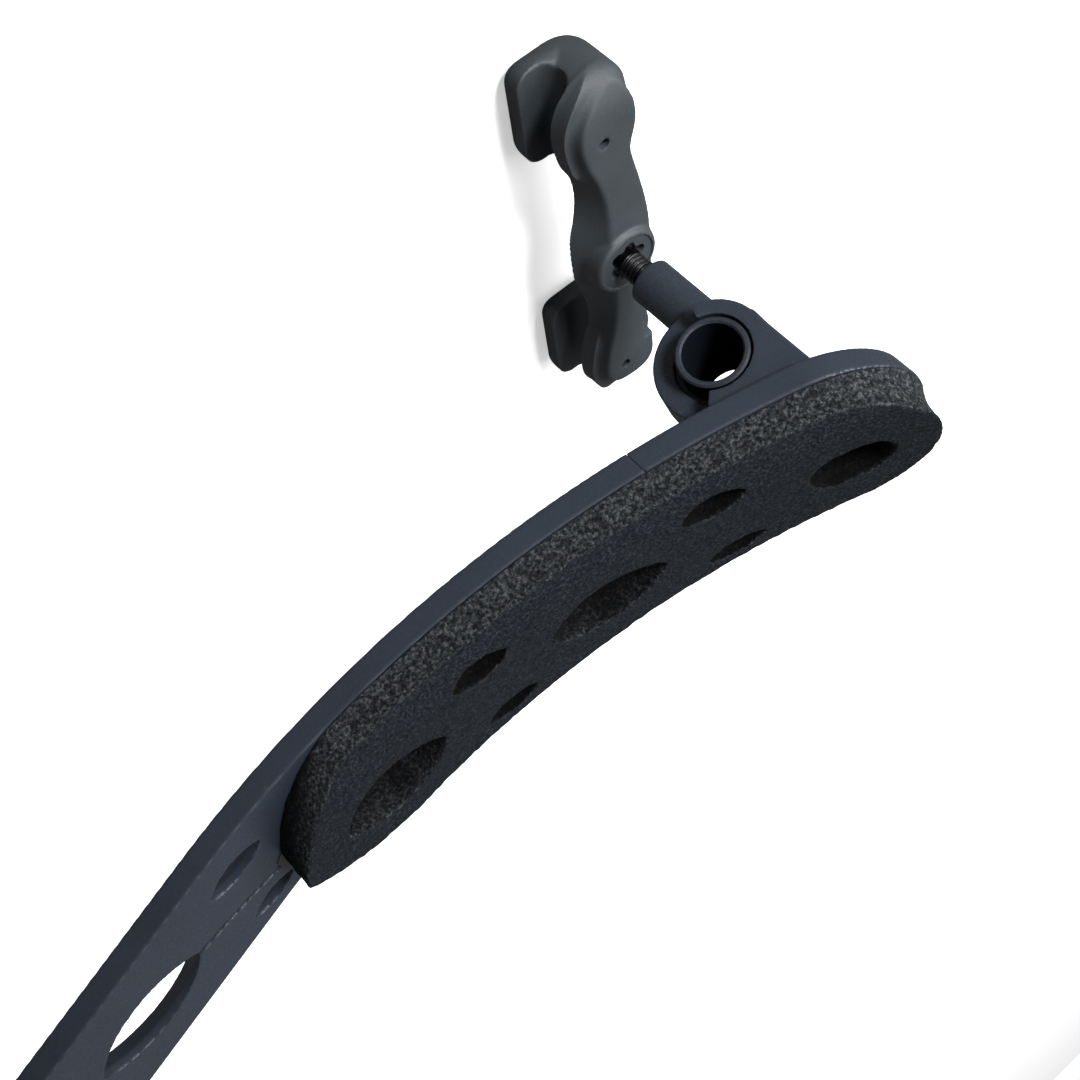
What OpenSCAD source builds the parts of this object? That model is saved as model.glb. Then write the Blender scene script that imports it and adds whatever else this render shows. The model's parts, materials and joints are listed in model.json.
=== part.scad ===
// Violin shoulder rest: a curved bar with foam pads, and a folding fork foot at each end.
// The origin is midway between the feet, on the plane of the violin's back.
// +X runs along the bar to the shoulder end, +Y to the violin's neck, +Z away from the violin.

/* [Bar] */
// Width of the bar
bar_w = 24; // [22:0.5:28]
// Thickness of the bar
bar_t = 3.6; // [3:0.2:4.4]
// How far the bar runs past each hinge axis
bar_overhang = 16; // [14:0.5:17]
// Radius of the hollow that takes the shoulder
shoulder_radius = 180; // [170:5:220]
// Distance of the lowest point of the bar from the middle, to the shoulder side
low_point_x = 36; // [32:1:40]

/* [Hinge] */
// Distance between the two hinge axes
hinge_span = 200; // [190:2:220]
// Height of the hinge axes above the violin's back
hinge_z = 26.5; // [26:0.5:28]
// Outer diameter of the hollow hinge sleeve
sleeve_d = 9.8; // [9:0.2:10]
// Bore of the hollow hinge sleeve
sleeve_bore = 8; // [6:0.2:8.2]
// Diameter of the round swivel disc on the stem
disc_d = 17; // [16.6:0.2:17.4]

/* [Height screw] */
// Thread diameter of the height screw
screw_d = 4; // [3.5:0.1:4]
// Thread pitch
screw_pitch = 0.7; // [0.5:0.1:0.8]
// Outer diameter of the stem barrel that takes the screw
barrel_d = 6.5; // [6.4:0.1:6.6]
// Screw length left showing between the fork and the barrel
screw_gap = 4.1; // [3.6:0.1:4.6]

/* [Fork foot] */
// Distance between the middles of the two claws of a fork
claw_spacing = 46; // [44:1:50]
// Width of one claw along the violin's edge
claw_w = 16; // [13:0.5:17]
// Thickness of the violin's edge that a claw takes
throat_h = 4.6; // [4.2:0.1:5]
// Angle that each fork is turned to follow the violin's outline
fork_turn = 16; // [10:1:20]

/* [Foam pads] */
// Thickness of the foam
pad_t = 6.5; // [5:0.5:8]
// How far the foam stands out past the edge of the bar
pad_proud = 0.6; // [0:0.1:1]

/* [Hidden] */

$fn = 64;
small = 0.05;           // clearance between parts that fit together
far = 400;              // longer than the whole object, for cutting shapes
through = 20;           // longer than any hole, for cutting holes
cut_y_max = 30;         // cutting shapes run past both edges of the bar
cut_y = 70;

// Bar profile, all arcs and one straight, seen along Y
low_z = hinge_z - 3.8;
arc_end_x = low_point_x - 28;
slope = asin((low_point_x - arc_end_x) / shoulder_radius);
straight_len = 48.5;
hump_radius = 245;
arc_end_z = low_z + shoulder_radius * (1 - cos(slope));
// The hump's centre is square to the straight's far end
hump_x = arc_end_x - straight_len * cos(slope) - hump_radius * sin(slope);
hump_z = arc_end_z + straight_len * sin(slope) - hump_radius * cos(slope);
hump_sweep = 3;
hollow_sweep = 17;
profile_steps = 24;

// Bar plan
bar_y = -3.4;           // middle of the bar, behind the stems' plane
hub_x = hinge_span / 2;
bar_end_x = hub_x + bar_overhang;
seam_x = 83;            // where the end plates meet the bar's centre
tongue_len = 6;
tongue_w = 12;
tongue_t = 1.4;

// Hinge stack along Y
hub_front_y = 6.6;
cheek_front_y = 3.4;
disc_front_y = 3.3;
disc_back_y = -1.75;
washer_t = 0.5;
cheek_back_y = disc_back_y - washer_t - 2 * small;
hub_back_y = -8.6;
cheek_r = 7.3;
cheek_inner_x = -5.4;   // inner side of the cheek's web
web_h = 16;             // the web runs up into the bar
window_reach = 30;      // the cheek's window is cut well past its rim
front_window = [138, 180, 225, 292];
back_window = [138, 180, 225, 270, 332];
cheek_bore_r = sleeve_d / 2 + 0.35;
sleeve_fit_r = sleeve_d / 2 + small;
disc_room = 0.45;
relief_w = 0.8;         // shallow step round the sleeve on the disc's front
relief_t = 1.2;

// Stem
stem_offset = 3;        // stem axis outboard of the hinge axis
stem_x = hub_x + stem_offset;
collar_z = 5;           // top face of the fork's collar
barrel_end_z = collar_z + screw_gap;
screw_top_z = hinge_z - 7.9;
screw_tip = 0.5;        // chamfered end of the screw
bore_top_z = screw_top_z + 2.4;
thread_depth = 0.6 * screw_pitch;
thread_shape = [0.1, 0.5, 0.6];  // root, crest and end of crest, in pitches
insert_r = screw_d / 2 + 0.6;
insert_len = 9;
insert_sunk = 0.6;      // how far the insert sits inside the barrel's end

// Fork
fork_y0 = 1.2;          // middle of the fork, measured from the stem
throat_r = throat_h / 2;
throat_x = -4.2;        // axis of the round end of the claw's throat
claw_bottom_z = -8.4;
claw_outer_x = 4.2;
lip_tip_x = -7.3;
seat_x = -5.6;          // inner end of the seat above the throat
lip_r = 1.9;            // rounding of the lip's tip
heel_r = 3.6;           // rounding of the claw's lower outer corner
claw_corner_r = 3;      // rounding of the claw seen from above
claw_top_z = 2.6;       // the claws end inside the fork's top
collar_d = 10.2;
hole_y0 = 0.3;          // middle between the two mould holes
hole_x = -1.5;
hole_d = 1.6;
hole_floor_z = 3.1;     // the holes end on the core
anchor_r = 3.1;
anchor_t = 1.6;
anchor_z = 1.3;
lobe_r = 0.9;
lobes = [0:60:300];     // angles of the lobes that key the screw to the fork
// Half of the fork seen from above: [distance from its middle, inner foot, inner top edge,
// outer edge, height of the top], with the distances for claws 46 apart
fork_line = [[0, -6.3, -2, 4.8, 4.2], [4, -6.2, -2, 4.8, 4.2], [8, -4.9, -1.9, 4.4, 4.2],
             [12, -4.3, -2.1, 3.8, 4.1], [16, -4.7, -3, 3, 4.1], [18.5, -5.7, -4, 2.6, 4.1],
             [22.5, -6.4, -4.9, 3.9, 4.2], [25.5, -6.3, -4.6, 4, 4.1], [28, -5.3, -2.4, 3.3, 3.6],
             [30, -3.6, 0.2, 2.4, 2.6]];
fork_end = 30;
fork_steps = 60;
line_spacing = 46;
fork_bottom_z = 0.3;
// Layers of the fork's top: [share of the height, inset of the upper edge]
fork_layers = [[0, 0], [0.5, 0], [0.86, 0.1], [0.96, 0.35], [1, 0.8]];

// Lens openings of the bar and the foam: [x, y, length, width]
big_openings = [[68.5, -4.6, 18, 10.6], [32.4, -5, 18, 11.4], [-11, -4.2, 20, 10],
                [-47, -4.2, 18, 10]];
small_openings = [[51, 3, 9, 4.4], [50.3, -11.8, 8.6, 3.6], [10.8, 1.8, 10, 4.2],
                  [9.4, -11.4, 8.4, 3], [-30, 2.8, 9, 4], [-30, -11.2, 9, 3.4],
                  [-70, 2.8, 9, 4], [-70, -11.2, 9, 3.4]];
shoulder_pad_openings = [[86, 3, 9, 4.6], [85.8, -11.8, 8.6, 3.6]];
shoulder_round_opening = [102.6, -4.6, 10.6, 8.6];
chest_pad_openings = [[-87, -4.2, 16, 10]];
chest_round_opening = [-104, -4.2, 9, 7.6];
chest_pad_end_x = -57;
shoulder_pad_setback = 1.5;  // the pad stands square to the sloping end of the bar
chest_pad_slant = 5;
shoulder_pad_end_x = 33;
shoulder_pad_slant = 19.6;
slant_top_y = 9.2;      // the pads' slanted ends run between these two widths
slant_low_y = -6.5;
adhesive_t = 0.15;
adhesive_inset = 0.5;
layer_gap = 0.02;

// ---------- shared shapes ----------

// A lens: two arcs meeting in points
module lens(l, w) {
    r = (l * l / 4 + w * w / 4) / w;
    intersection() {
        translate([0, r - w / 2]) circle(r = r, $fn = 96);
        translate([0, w / 2 - r]) circle(r = r, $fn = 96);
    }
}

module lens_cuts(list) {
    for (o = list)
        translate([o[0], o[1], 0]) linear_extrude(far / 2) lens(o[2], o[3]);
}

// A round opening that is longer than it is wide
module slot_cut(o) {
    r = o[3] / 2;
    reach = o[2] / 2 - r;
    translate([o[0], o[1], 0]) linear_extrude(far / 2) {
        translate([-reach, 0]) circle(r = r);
        translate([reach, 0]) circle(r = r);
        square([2 * reach, 2 * r], center = true);
    }
}

// Points of the side profile at depth d above the violin-side face, angle a round each arc
function hollow_point(a, d) =
    [low_point_x + (shoulder_radius - d) * sin(a),
     low_z + shoulder_radius - (shoulder_radius - d) * cos(a)];
function hump_point(a, d) =
    [hump_x + (hump_radius + d) * sin(a), hump_z + (hump_radius + d) * cos(a)];

// Side profile of the middle of the bar, from the hump to the hollow in fine steps
function profile_line(d) = concat(
    [for (i = [0:profile_steps]) hump_point(-hump_sweep + i * (slope + hump_sweep) / profile_steps, d)],
    [for (i = [0:profile_steps]) hollow_point(-slope + i * (hollow_sweep + slope) / profile_steps, d)]);

module middle_band(d0, d1) {
    top = profile_line(d1);
    translate([0, cut_y_max, 0]) rotate([90, 0, 0]) linear_extrude(cut_y)
        polygon(concat(profile_line(d0), [for (i = [len(top) - 1:-1:0]) top[i]]));
}

// Side profile between two depths at one end of the bar: true arcs
module end_profile(side, d0, d1) {
    if (side > 0)
        translate([low_point_x, low_z + shoulder_radius]) intersection() {
            difference() {
                circle(r = shoulder_radius - d0, $fn = 360);
                circle(r = shoulder_radius - d1, $fn = 360);
            }
            polygon([[0, 0], [-far * sin(slope), -far * cos(slope)], [far, -far]]);
        }
    else
        translate([hump_x, hump_z]) intersection() {
            difference() {
                circle(r = hump_radius + d1, $fn = 360);
                circle(r = hump_radius + d0, $fn = 360);
            }
            polygon([[0, 0], [2 * far * sin(slope), 2 * far * cos(slope)], [-far, far]]);
        }
}

module end_band(side, d0, d1) {
    translate([0, cut_y_max, 0]) rotate([90, 0, 0]) linear_extrude(cut_y) end_profile(side, d0, d1);
}

// Plan outline of the bar, and of a pad when grown and set back
module plan(grow, setback) {
    r = bar_w / 2 + grow;
    reach = bar_end_x - setback - bar_w / 2;
    linear_extrude(far / 2) {
        for (side = [-1, 1]) translate([side * reach, bar_y]) circle(r = r, $fn = 96);
        translate([-reach, bar_y - r]) square([2 * reach, 2 * r]);
    }
}

module x_range(x0, x1) {
    translate([x0, -far / 2, -far / 2]) cube([x1 - x0, far, far]);
}

// Tongue that locks an end plate to the middle of the bar
module tongue(side, grow) {
    translate([0, bar_y + tongue_w / 2 + grow, 0]) rotate([90, 0, 0])
        linear_extrude(tongue_w + 2 * grow)
            end_profile(side, (bar_t - tongue_t) / 2 - grow, (bar_t + tongue_t) / 2 + grow);
}

// ---------- bar ----------

module bar_centre() {
    color([0.17, 0.18, 0.20])
        difference() {
            union() {
                intersection() {
                    middle_band(0, bar_t);
                    plan(0, 0);
                    x_range(-seam_x, seam_x);
                }
                for (side = [-1, 1]) intersection() {
                    tongue(side, 0);
                    x_range(side * seam_x - (side > 0 ? 2 : tongue_len),
                            side * seam_x + (side > 0 ? tongue_len : 2));
                }
            }
            lens_cuts(big_openings);
            lens_cuts(small_openings);
        }
}

// Cheek of the hinge: a round eye with a web down to the bar, cut open towards the stem
module cheek(y_front, y_back, window) {
    translate([0, y_front, hinge_z]) rotate([90, 0, 0]) linear_extrude(y_front - y_back)
        difference() {
            union() {
                circle(r = cheek_r, $fn = 96);
                translate([cheek_inner_x, 0]) square([cheek_r - cheek_inner_x, web_h]);
            }
            circle(r = cheek_bore_r, $fn = 96);
            polygon(concat([[0, 0]],
                [for (a = window) window_reach * [cos(a), sin(a)]]));
        }
}

// End plate drawn for the shoulder side; side = -1 draws the chest side
module end_plate(side) {
    color([0.17, 0.18, 0.20])
        difference() {
            union() {
                intersection() {
                    end_band(side, 0, bar_t);
                    plan(0, 0);
                    x_range(side > 0 ? seam_x + small : -far, side > 0 ? far : -seam_x - small);
                }
                intersection() {
                    translate([side * hub_x, 0, 0]) mirror([side > 0 ? 0 : 1, 0, 0]) {
                        cheek(hub_front_y, cheek_front_y, front_window);
                        cheek(cheek_back_y, hub_back_y, back_window);
                    }
                    end_band(side, -cut_y_max, bar_t / 2);
                }
            }
            // pocket that clears the swivel disc
            translate([side * hub_x, cheek_front_y, hinge_z]) rotate([90, 0, 0])
                cylinder(r = disc_d / 2 + disc_room, h = cheek_front_y - cheek_back_y);
            // eye for the sleeve's back end
            translate([side * hub_x, cheek_back_y + 1, hinge_z]) rotate([90, 0, 0])
                cylinder(r = sleeve_fit_r, h = through);
            intersection() {
                tongue(side, small);
                x_range(side * seam_x - (side > 0 ? 3 : tongue_len + 4 * small),
                        side * seam_x + (side > 0 ? tongue_len + 4 * small : 3));
            }
        }
}

// ---------- foam ----------

// Everything past a pad's slanted inner end
module pad_end(x, slant, outside) {
    polygon([[x, cut_y_max], [x, slant_top_y], [x - slant, slant_low_y],
             [x - slant, -cut_y_max], [outside, -cut_y_max], [outside, cut_y_max]]);
}

module pad_layer(d0, d1, grow, shoulder) {
    difference() {
        intersection() {
            end_band(shoulder ? 1 : -1, d0, d1);
            plan(grow, shoulder ? shoulder_pad_setback : 0);
            linear_extrude(far / 2)
                pad_end(shoulder ? shoulder_pad_end_x : chest_pad_end_x,
                        shoulder ? shoulder_pad_slant : chest_pad_slant, shoulder ? far : -far);
        }
        lens_cuts([for (o = concat(big_openings, small_openings))
            if (shoulder ? o[0] > 20 : o[0] < chest_pad_end_x - chest_pad_slant) o]);
        lens_cuts(shoulder ? shoulder_pad_openings : chest_pad_openings);
        slot_cut(shoulder ? shoulder_round_opening : chest_round_opening);
    }
}

module pad_adhesive(shoulder) {
    color([0.12, 0.12, 0.12])
        pad_layer(bar_t + layer_gap, bar_t + layer_gap + adhesive_t, -adhesive_inset, shoulder);
}

module foam_pad(shoulder) {
    color([0.08, 0.08, 0.09])
        pad_layer(bar_t + 2 * layer_gap + adhesive_t, bar_t + pad_t, pad_proud, shoulder);
}

// ---------- hinge ----------

module hinge_sleeve() {
    color([0.20, 0.21, 0.23])
        translate([hub_x, hub_front_y, hinge_z]) rotate([90, 0, 0])
            difference() {
                cylinder(d = sleeve_d, h = hub_front_y - hub_back_y);
                translate([0, 0, -1]) cylinder(d = sleeve_bore, h = through);
            }
}

module friction_washer() {
    color([0.35, 0.34, 0.32])
        translate([hub_x, disc_back_y - small, hinge_z]) rotate([90, 0, 0])
            difference() {
                cylinder(r = cheek_r - 0.4, h = washer_t);
                translate([0, 0, -1]) cylinder(r = sleeve_fit_r, h = 3);
            }
}

module swivel_stem() {
    color([0.16, 0.17, 0.19])
        difference() {
            union() {
                // disc, cut off level with the cheeks' webs
                intersection() {
                    translate([hub_x, disc_front_y, hinge_z]) rotate([90, 0, 0])
                        cylinder(d = disc_d, h = disc_front_y - disc_back_y, $fn = 96);
                    x_range(0, hub_x + cheek_r - small);
                }
                translate([stem_x, 0, barrel_end_z])
                    cylinder(d = barrel_d, h = hinge_z - 4 - barrel_end_z);
            }
            translate([hub_x, through / 2, hinge_z]) rotate([90, 0, 0])
                cylinder(r = sleeve_fit_r, h = through);
            // shallow relief round the sleeve on the front face
            translate([hub_x, disc_front_y + 1, hinge_z]) rotate([90, 0, 0])
                cylinder(r = sleeve_d / 2 + relief_w, h = 1 + relief_t);
            // room for the barrel to pass the friction washer
            translate([hub_x, disc_back_y, hinge_z]) rotate([90, 0, 0])
                cylinder(r = cheek_r + 0.1, h = 3);
            translate([stem_x, 0, barrel_end_z - 1])
                cylinder(r = screw_d / 2 + small, h = bore_top_z - barrel_end_z + 1);
            translate([stem_x, 0, barrel_end_z + insert_sunk])
                cylinder(r = insert_r, h = insert_len);
        }
}

module stem_insert() {
    color([0.72, 0.58, 0.28])
        translate([stem_x, 0, barrel_end_z + insert_sunk]) difference() {
            cylinder(r = insert_r, h = insert_len);
            translate([0, 0, -1]) cylinder(r = screw_d / 2 + small, h = insert_len + 2);
        }
}

// ---------- height screw ----------

// One ridge of the thread is a ring; the rings sit one pitch apart
module height_screw() {
    crest = screw_d / 2;
    root = crest - thread_depth;
    bottom = anchor_z + 4 * small;
    thread_top = screw_top_z - screw_tip;
    turns = floor((thread_top - bottom - anchor_t) / screw_pitch);
    start = thread_top - turns * screw_pitch;
    color([0.07, 0.07, 0.08])
        translate([stem_x, 0, 0]) rotate_extrude()
            polygon(concat(
                [[0, bottom], [root, bottom], [root, start]],
                [for (i = [0:turns - 1], k = [0:2])
                    [k == 0 ? root : crest, start + (i + thread_shape[k]) * screw_pitch]],
                [[root, thread_top], [root - screw_tip, screw_top_z], [0, screw_top_z]]));
}

// Ring that the screw is fixed in, keyed by lobes so that it turns with the fork
module anchor_shape(grow) {
    translate([stem_x, 0, anchor_z - grow]) linear_extrude(anchor_t + 2 * grow) {
        circle(r = anchor_r - lobe_r / 2 + grow);
        for (a = lobes) rotate(a)
            translate([anchor_r - lobe_r, 0]) circle(r = lobe_r + grow, $fn = 32);
    }
}

module screw_anchor() {
    color([0.55, 0.53, 0.48])
        difference() {
            anchor_shape(0);
            translate([stem_x, 0, 0])
                cylinder(r = screw_d / 2 - thread_depth + small, h = through);
        }
}

// ---------- fork ----------

// Places children in the fork's own frame: x outward, y along the violin's edge, z up
module at_fork() {
    translate([stem_x, 0, 0]) rotate([0, 0, -fork_turn]) children();
}

// Open recess in the collar that the screw comes out of
module collar_recess() {
    linear_extrude(through) {
        circle(r = screw_d / 2 + 0.4);
        for (a = lobes) rotate(a)
            translate([anchor_r - lobe_r, 0]) circle(r = lobe_r, $fn = 32);
    }
}

// Stiff core: a spine from claw to claw, a tab inside each claw and a boss round the screw
module core_shape(grow) {
    half = claw_spacing / 2;
    translate([-1.7 - grow, fork_y0 - half - 3 - grow, 1.1 - grow])
        cube([3.4 + 2 * grow, 2 * half + 6 + 2 * grow, 2 + 2 * grow]);
    for (s = [-1, 1])
        translate([-0.4 - grow, fork_y0 + s * half - 3 - grow, -6 - grow])
            cube([2 + 2 * grow, 6 + 2 * grow, 8 + 2 * grow]);
    translate([0, 0, 0.7 - grow]) cylinder(r = 4.1 + grow, h = 3 + 2 * grow);
}

module mould_holes() {
    for (s = [-1, 1])
        translate([hole_x, hole_y0 + s * claw_spacing / 2, hole_floor_z]) cylinder(d = hole_d, h = through);
}

module fork_core() {
    color([0.12, 0.12, 0.13])
        difference() {
            at_fork() core_shape(0);
            anchor_shape(small);
            translate([stem_x, 0, anchor_z + anchor_t - small]) collar_recess();
        }
}

// The slot that takes the violin's edge, with a round end
module throat_2d() {
    translate([throat_x, -throat_r]) circle(r = throat_r);
    translate([throat_x - through, -throat_h]) square([through, throat_h]);
}

// Side profile of a claw: outer wall with a rounded heel, and a lip below the throat
module claw_profile() {
    difference() {
        union() {
            translate([claw_outer_x - heel_r, claw_bottom_z + heel_r]) circle(r = heel_r, $fn = 96);
            translate([lip_tip_x + lip_r, claw_bottom_z + lip_r]) circle(r = lip_r);
            translate([lip_tip_x + lip_r, claw_bottom_z])
                square([claw_outer_x - heel_r - lip_tip_x - lip_r, heel_r + 8 * small]);
            translate([throat_x, claw_bottom_z + heel_r])
                square([claw_outer_x - throat_x, claw_top_z - claw_bottom_z - heel_r]);
            translate([seat_x, 0]) square([claw_outer_x - seat_x, claw_top_z]);
        }
        throat_2d();
    }
}

// Claws seen from above, with rounded corners
module claw_plan() {
    half = claw_w / 2;
    for (s = [-1, 1]) translate([0, fork_y0 + s * claw_spacing / 2]) {
        for (x = [lip_tip_x + claw_corner_r, claw_outer_x - claw_corner_r], y = [-1, 1])
            translate([x, y * (half - claw_corner_r)]) circle(r = claw_corner_r);
        translate([lip_tip_x, claw_corner_r - half])
            square([claw_outer_x - lip_tip_x, claw_w - 2 * claw_corner_r]);
        translate([lip_tip_x + claw_corner_r, -half])
            square([claw_outer_x - lip_tip_x - 2 * claw_corner_r, claw_w]);
    }
}

// A profile in the plane across the claws, run along the whole fork
module along_fork(length) {
    translate([0, fork_y0 + length / 2, 0]) rotate([90, 0, 0]) linear_extrude(length) children();
}

// One column of fork_line at a distance along the fork, averaged to round its corners
function fork_value(y, k) =
    let(table = [for (s = fork_line) [s[0], s[k]]],
        at = abs(y) * line_spacing / claw_spacing)
    (lookup(abs(at - 1.2), table) + lookup(abs(at - 0.4), table)
     + lookup(at + 0.4, table) + lookup(at + 1.2, table)) / 4;

// Point of the fork's top part at one layer; side 0 is inner, 1 is outer
function fork_point(y, side, layer) =
    let(rise = layer[0], inset = layer[1],
        inner = fork_value(y, 1) + rise * (fork_value(y, 2) - fork_value(y, 1)),
        outer = fork_value(y, 3),
        middle = (inner + outer) / 2,
        reach = max(0.1, (outer - inner) / 2 - inset),
        end_inset = 1 - inset / fork_end)
    [middle + (side == 0 ? -reach : reach), fork_y0 + y * end_inset,
     fork_bottom_z + rise * (fork_value(y, 4) - fork_bottom_z)];

// Top part of the fork, lofted through its layers
module fork_top() {
    end = fork_end * claw_spacing / line_spacing;
    rows = [for (i = [0:fork_steps]) end * (2 * i / fork_steps - 1)];
    n = len(rows);
    ring = 2 * n;
    last = (len(fork_layers) - 1) * ring;
    points = [for (layer = fork_layers) each concat(
        [for (y = rows) fork_point(y, 0, layer)],
        [for (i = [n - 1:-1:0]) fork_point(rows[i], 1, layer)])];
    sides = [for (k = [0:len(fork_layers) - 2], i = [0:ring - 1])
        let(a = k * ring + i, b = k * ring + (i + 1) % ring)
        each [[a, b, b + ring], [a, b + ring, a + ring]]];
    floor_faces = [for (i = [0:n - 2])
        each [[i, ring - 1 - i, ring - 2 - i], [i, ring - 2 - i, i + 1]]];
    top_faces = [for (i = [0:n - 2])
        each [[last + i, last + i + 1, last + ring - 2 - i],
              [last + i, last + ring - 2 - i, last + ring - 1 - i]]];
    polyhedron(points, concat(sides, floor_faces, top_faces));
}

module fork_cover() {
    color([0.27, 0.29, 0.30])
        difference() {
            at_fork() union() {
                fork_top();
                intersection() {
                    along_fork(claw_spacing + claw_w + 2) claw_profile();
                    translate([0, 0, -through]) linear_extrude(2 * through) claw_plan();
                }
                translate([0, 0, fork_bottom_z + small]) cylinder(d = collar_d, h = collar_z - fork_bottom_z - small);
            }
            at_fork() core_shape(small);
            translate([stem_x, 0, anchor_z]) collar_recess();
            at_fork() mould_holes();
            at_fork() along_fork(claw_spacing + claw_w + 4) throat_2d();
        }
}

// ---------- assembly ----------

module chest() {
    mirror([1, 0, 0]) children();
}

bar_centre();
end_plate(1);  // shoulder_end_plate
end_plate(-1);  // chest_end_plate
foam_pad(true);  // shoulder_foam_pad
foam_pad(false);  // chest_foam_pad
pad_adhesive(true);  // shoulder_pad_adhesive
pad_adhesive(false);  // chest_pad_adhesive
hinge_sleeve();  // shoulder_hinge_sleeve
chest() hinge_sleeve();  // chest_hinge_sleeve
friction_washer();  // shoulder_friction_washer
chest() friction_washer();  // chest_friction_washer
swivel_stem();  // shoulder_swivel_stem
chest() swivel_stem();  // chest_swivel_stem
stem_insert();  // shoulder_stem_insert
chest() stem_insert();  // chest_stem_insert
height_screw();  // shoulder_height_screw
chest() height_screw();  // chest_height_screw
screw_anchor();  // shoulder_screw_anchor
chest() screw_anchor();  // chest_screw_anchor
fork_core();  // shoulder_fork_core
chest() fork_core();  // chest_fork_core
fork_cover();  // shoulder_fork_cover
chest() fork_cover();  // chest_fork_cover
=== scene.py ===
"""Looks of the violin shoulder rest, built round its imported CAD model.

Moulded parts and foam are meshed from signed distance shapes, written in millimetres in the CAD frame:
+X along the bar to the shoulder end, +Y to the violin's neck, +Z away from the violin's back.
The chest end's hinge and foot are the shoulder end's, mirrored in X.
"""
import json
import math

import bpy
import numpy as np
from mathutils import Matrix, Vector


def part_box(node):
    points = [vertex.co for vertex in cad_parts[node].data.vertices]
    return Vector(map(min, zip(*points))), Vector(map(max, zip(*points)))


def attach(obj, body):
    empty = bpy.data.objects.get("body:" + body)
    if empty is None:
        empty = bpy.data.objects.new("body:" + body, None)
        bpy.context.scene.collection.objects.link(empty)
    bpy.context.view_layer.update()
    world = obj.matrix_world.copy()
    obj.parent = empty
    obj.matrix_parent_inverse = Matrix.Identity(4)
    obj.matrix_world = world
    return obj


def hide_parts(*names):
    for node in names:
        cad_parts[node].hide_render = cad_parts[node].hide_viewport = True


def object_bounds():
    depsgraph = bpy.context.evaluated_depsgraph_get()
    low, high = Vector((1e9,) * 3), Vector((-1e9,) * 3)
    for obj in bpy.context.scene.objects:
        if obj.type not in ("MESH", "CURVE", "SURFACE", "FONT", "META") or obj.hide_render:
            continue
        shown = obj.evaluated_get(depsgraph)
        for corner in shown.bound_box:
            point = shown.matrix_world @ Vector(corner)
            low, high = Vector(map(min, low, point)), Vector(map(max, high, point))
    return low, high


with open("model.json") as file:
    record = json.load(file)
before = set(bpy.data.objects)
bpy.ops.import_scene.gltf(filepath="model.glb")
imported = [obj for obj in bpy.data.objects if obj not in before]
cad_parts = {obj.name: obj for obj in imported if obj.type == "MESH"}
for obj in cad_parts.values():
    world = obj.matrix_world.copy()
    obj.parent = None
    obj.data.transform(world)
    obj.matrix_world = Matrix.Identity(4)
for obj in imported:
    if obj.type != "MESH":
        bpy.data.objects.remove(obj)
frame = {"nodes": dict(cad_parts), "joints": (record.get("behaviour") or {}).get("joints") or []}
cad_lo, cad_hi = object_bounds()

MM = 0.001
NODES = frame["nodes"]
JOINTS = {j["name"]: j for j in frame["joints"]}


# ---------- sizes, in millimetres, from the frame ----------

def node_box(name):
    lo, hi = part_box(name)
    return [v / MM for v in lo], [v / MM for v in hi]


SLEEVE_LO, SLEEVE_HI = node_box("shoulder_hinge_sleeve")
STEM_LO, STEM_HI = node_box("shoulder_swivel_stem")
SCREW_LO, SCREW_HI = node_box("shoulder_height_screw")
INSERT_HI = node_box("shoulder_stem_insert")[1]
BAR_LO, BAR_HI = node_box("bar_centre")
BAR_END = node_box("shoulder_end_plate")[1][0]
PAD_EDGE_Y = node_box("shoulder_foam_pad")[1][1]
COVER_LO, COVER_HI = node_box("shoulder_fork_cover")

HUB_X, _, HUB_Z = [v / MM for v in JOINTS["shoulder_fold"]["pos_m"]]
STEM_X = JOINTS["shoulder_turn"]["pos_m"][0] / MM
BAR_W = BAR_HI[1] - BAR_LO[1]
BAR_Y = (BAR_HI[1] + BAR_LO[1]) / 2
BAR_T = 3.6
EDGE_CHAMFER = 0.15
TONGUE = 6                        # how far the bar reaches into an end plate
SEAM_X = BAR_HI[0] - TONGUE
SEAM_GAP = 0.05
PAD_T = 6.5
ADHESIVE_T = 0.2

SLEEVE_R = (SLEEVE_HI[0] - SLEEVE_LO[0]) / 2
SLEEVE_WALL = 0.9
DISC_R = HUB_X - STEM_LO[0]
BARREL_R = 3.25
BARREL_END = STEM_LO[2]
BARREL_TOP = HUB_Z - 3.2
SCREW_R = (SCREW_HI[0] - SCREW_LO[0]) / 2
SCREW_TRAVEL_IN = -JOINTS["shoulder_height"]["range_m"][0] / MM
PITCH = 0.7
THREAD_DEPTH = 0.42
THREAD_START = 5.0

# The hinge along Y: two cheeks, and the disc that turns between them
FRONT_CHEEK = (3.4, 6.6)
BACK_CHEEK = (-8.6, -2.35)
DISC_Y = (-1.75, 3.3)
EYE_R = 7.3                       # a cheek's ring round the sleeve
WEB_BACK = -5.4                   # inner side of the web that joins the ring to the bar
WEB_RISE = 16
WASHER_ROOM_R = 7.4
EYE_STEP_Y = 2.1                  # floor of the shallow step round the sleeve in the disc's face

# Angles where a cheek's ring is open: from, a ray between, to
FRONT_WINDOW = (138, 225, 292)
BACK_WINDOW = (138, 240, 332)
DISC_HIDDEN = (-75, 60)           # where the cheeks cover the disc, so that it can be smaller
DISC_HIDDEN_R = 7.1

FORK_TURN = math.radians(16)
FORK_Y0 = 1.2
FORK_HALF = 30.6
CLAW_MIDDLE = 23
CLAW_HALF = 8
CLAW_BACK = 4.25
CLAW_FRONT = -7.3
CLAW_BOTTOM = -8.4
CLAW_TOP = 2.6
THROAT_U = -4.2
THROAT_R = 2.3
COLLAR_R = 5.1
COLLAR_Z = BARREL_END - 4.1
RECESS_FLOOR = 3.0
LOBES = 6
LUG_V = 18.8                      # bulge on the fork's outer edge, with a pocket in it

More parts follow.
